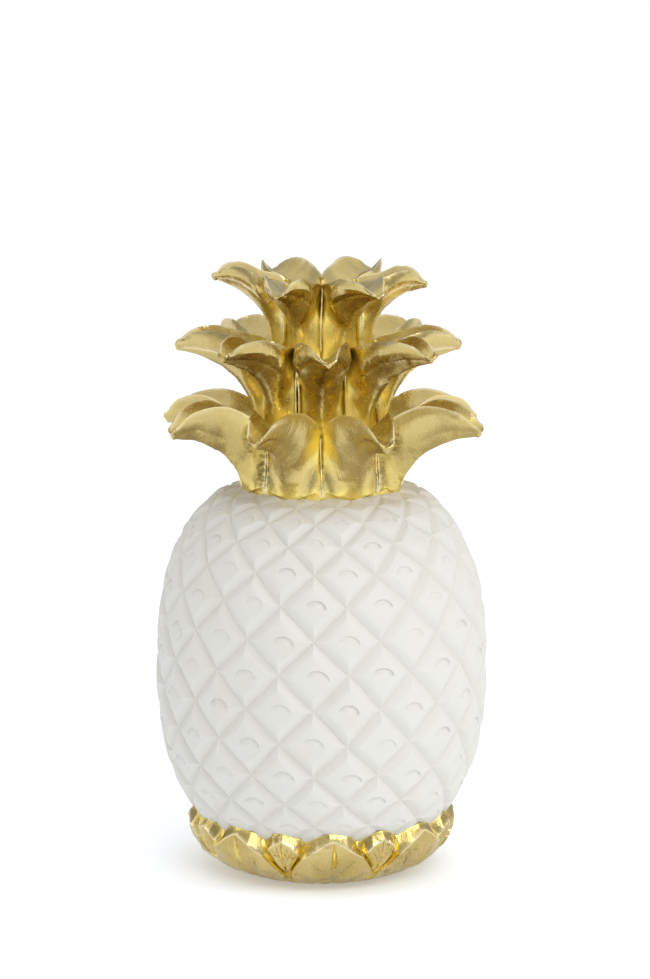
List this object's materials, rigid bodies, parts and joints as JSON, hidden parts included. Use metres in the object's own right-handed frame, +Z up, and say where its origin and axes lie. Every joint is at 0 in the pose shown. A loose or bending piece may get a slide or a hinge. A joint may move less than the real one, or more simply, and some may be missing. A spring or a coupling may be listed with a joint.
{
  "type": "pineapple ornament",
  "caption": "Cast table ornament in the shape of a pineapple: white fruit with carved diamond eyes, gold crown of trough leaves in three tiers, gold collar of leaves as its foot.",
  "frame": {"origin": "middle of the flat underside of the foot, on the surface that the ornament stands on", "axes": "+Z up through the crown, -Y the front that the picture shows, +X to the right as seen from the front"},
  "size_m": [0.1369, 0.1369, 0.2519],
  "materials": {
    "white_paint": "matt white paint on cast resin",
    "gold_paint": "satin metallic gold paint on cast resin"
  },
  "bodies": {
    "root": {"pineapple_ornament": "white_paint"}
  },
  "joints": []
}
